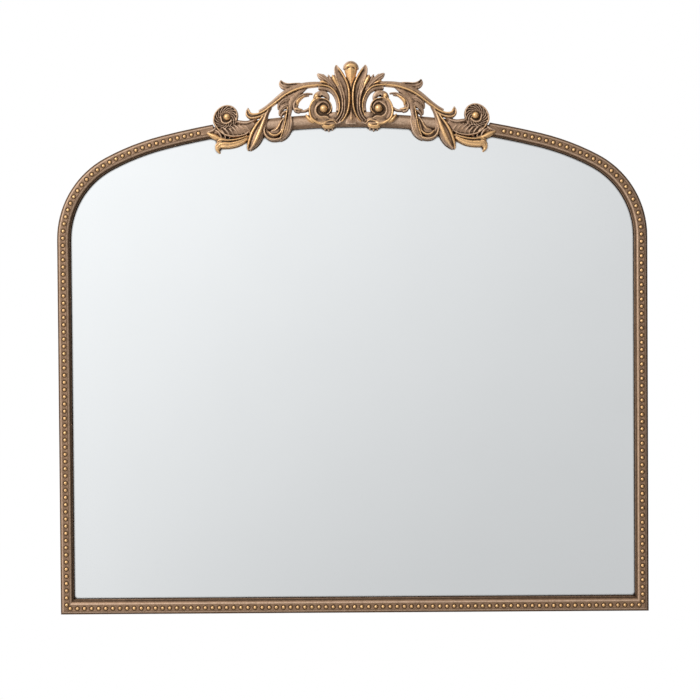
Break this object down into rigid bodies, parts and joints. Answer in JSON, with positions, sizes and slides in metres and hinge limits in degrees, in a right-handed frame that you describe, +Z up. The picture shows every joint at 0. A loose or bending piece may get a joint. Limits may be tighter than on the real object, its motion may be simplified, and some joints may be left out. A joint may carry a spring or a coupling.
{
  "type": "arched wall mirror",
  "caption": "Arched wall mirror in a slim beaded antique-bronze frame with a cast acanthus crest, a clipped-in backing board and folding ring hangers.",
  "frame": {"origin": "on the wall plane, at the middle of the frame's bottom edge", "axes": "+X to the mirror's right as seen from the front, +Y into the wall, +Z up; the glass faces -Y"},
  "size_m": [1.016, 0.0378, 0.9497],
  "materials": {
    "bronze": "antique bronze paint over steel, rubbed gold on the raised beads",
    "cast_bronze": "antique bronze paint over castings, gold rubbed on the ribs, dark in the hollows",
    "mirror_glass": "silvered float glass, polished",
    "foam_sheet": "thin closed-cell foam sheet",
    "backing_board": "fibreboard, sealed",
    "zinc_steel": "zinc-plated sheet steel",
    "screw_steel": "zinc-plated screws",
    "ring_wire": "bright zinc-plated wire",
    "rubber": "matt black rubber"
  },
  "bodies": {
    "frame": {"rail_left": "bronze", "rail_right": "bronze", "bottom_rail": "bronze", "crest_bar": "bronze", "crest_centre": "cast_bronze", "crest_wing_left": "cast_bronze", "crest_wing_right": "cast_bronze", "corner_key_left": "zinc_steel", "corner_key_right": "zinc_steel", "splice_key_left": "zinc_steel", "splice_key_right": "zinc_steel", "joint_screws": "screw_steel", "crest_screws": "screw_steel", "mirror_glass": "mirror_glass", "cushion_sheet": "foam_sheet", "back_panel": "backing_board", "setting_blocks": "rubber", "panel_clips": "zinc_steel", "clip_screws": "screw_steel", "hanger_strap_left": "zinc_steel", "hanger_strap_right": "zinc_steel", "hanger_screws": "screw_steel", "wall_pads": "rubber"},
    "ring_left": {"d_ring_left": "ring_wire"},
    "ring_right": {"d_ring_right": "ring_wire"}
  },
  "joints": [
    {"name": "ring_left_fold", "type": "hinge", "parent": "frame", "child": "ring_left", "pos_m": [-0.38, -0.00495, 0.6], "axis": [-1, 0, 0], "range_deg": [0, 180]},
    {"name": "ring_right_fold", "type": "hinge", "parent": "frame", "child": "ring_right", "pos_m": [0.38, -0.00495, 0.6], "axis": [-1, 0, 0], "range_deg": [0, 180]}
  ]
}
